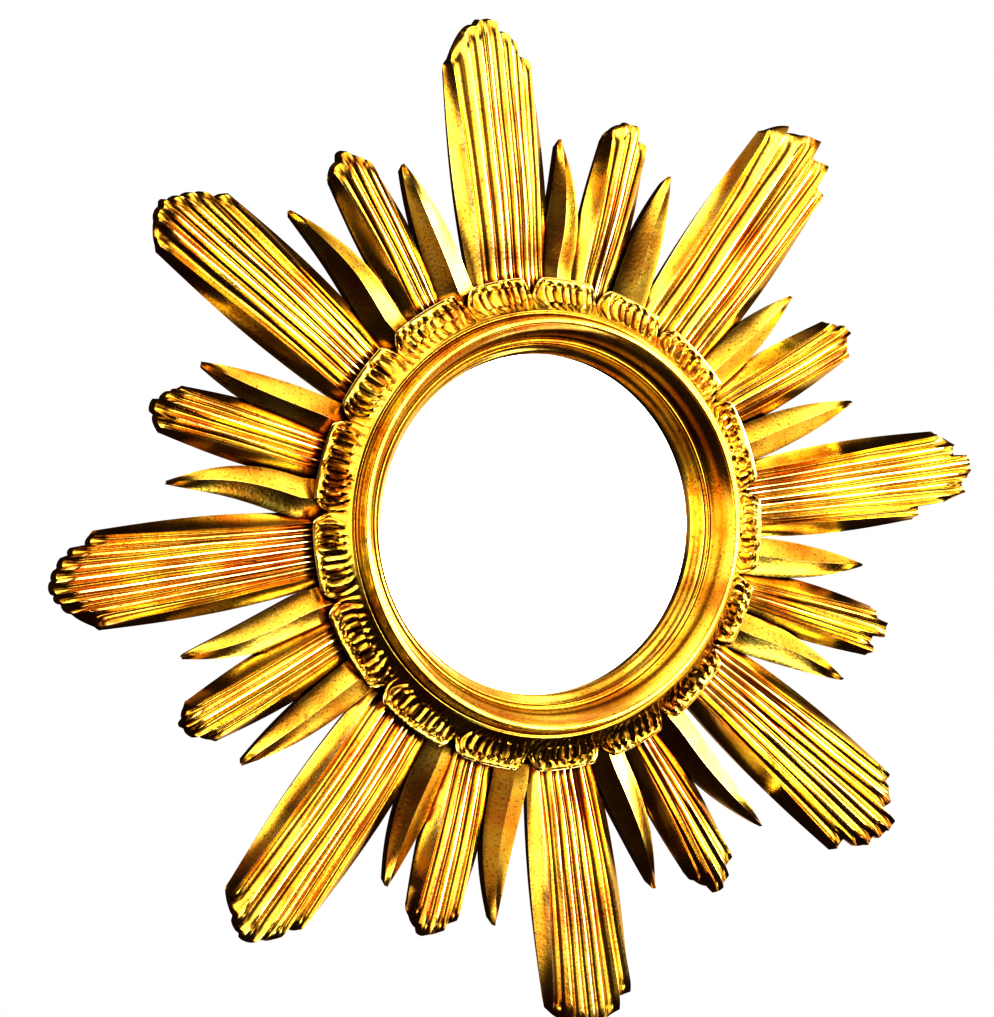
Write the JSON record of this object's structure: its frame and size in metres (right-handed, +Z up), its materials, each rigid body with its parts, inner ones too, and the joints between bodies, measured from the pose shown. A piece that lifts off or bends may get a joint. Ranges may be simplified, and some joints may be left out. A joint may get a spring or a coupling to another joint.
{
  "type": "sunburst wall mirror",
  "caption": "Round flat mirror in a carved and gilded wooden sunburst frame with long fluted rays, pointed leaves, a gathered collar and a turned ring; hangs flat on a wall.",
  "frame": {"origin": "on the flat back of the frame's ring, straight above the centre of the glass, where the mirror is fixed to the wall", "axes": "+Z up, the mirror faces -Y, the wall is at y = 0 on the +Y side, +X to the right of someone looking at the mirror"},
  "size_m": [0.5386, 0.0355, 0.5406],
  "materials": {
    "gilded_wood": "burnished gold leaf over red bole on carved wood, slightly rubbed",
    "silvered_glass": "flat float glass, silvered behind",
    "plain_board": "bare stained thin board"
  },
  "bodies": {
    "root": {"sunburst_frame": "gilded_wood", "mirror_glass": "silvered_glass", "backing_board": "plain_board"}
  },
  "joints": []
}
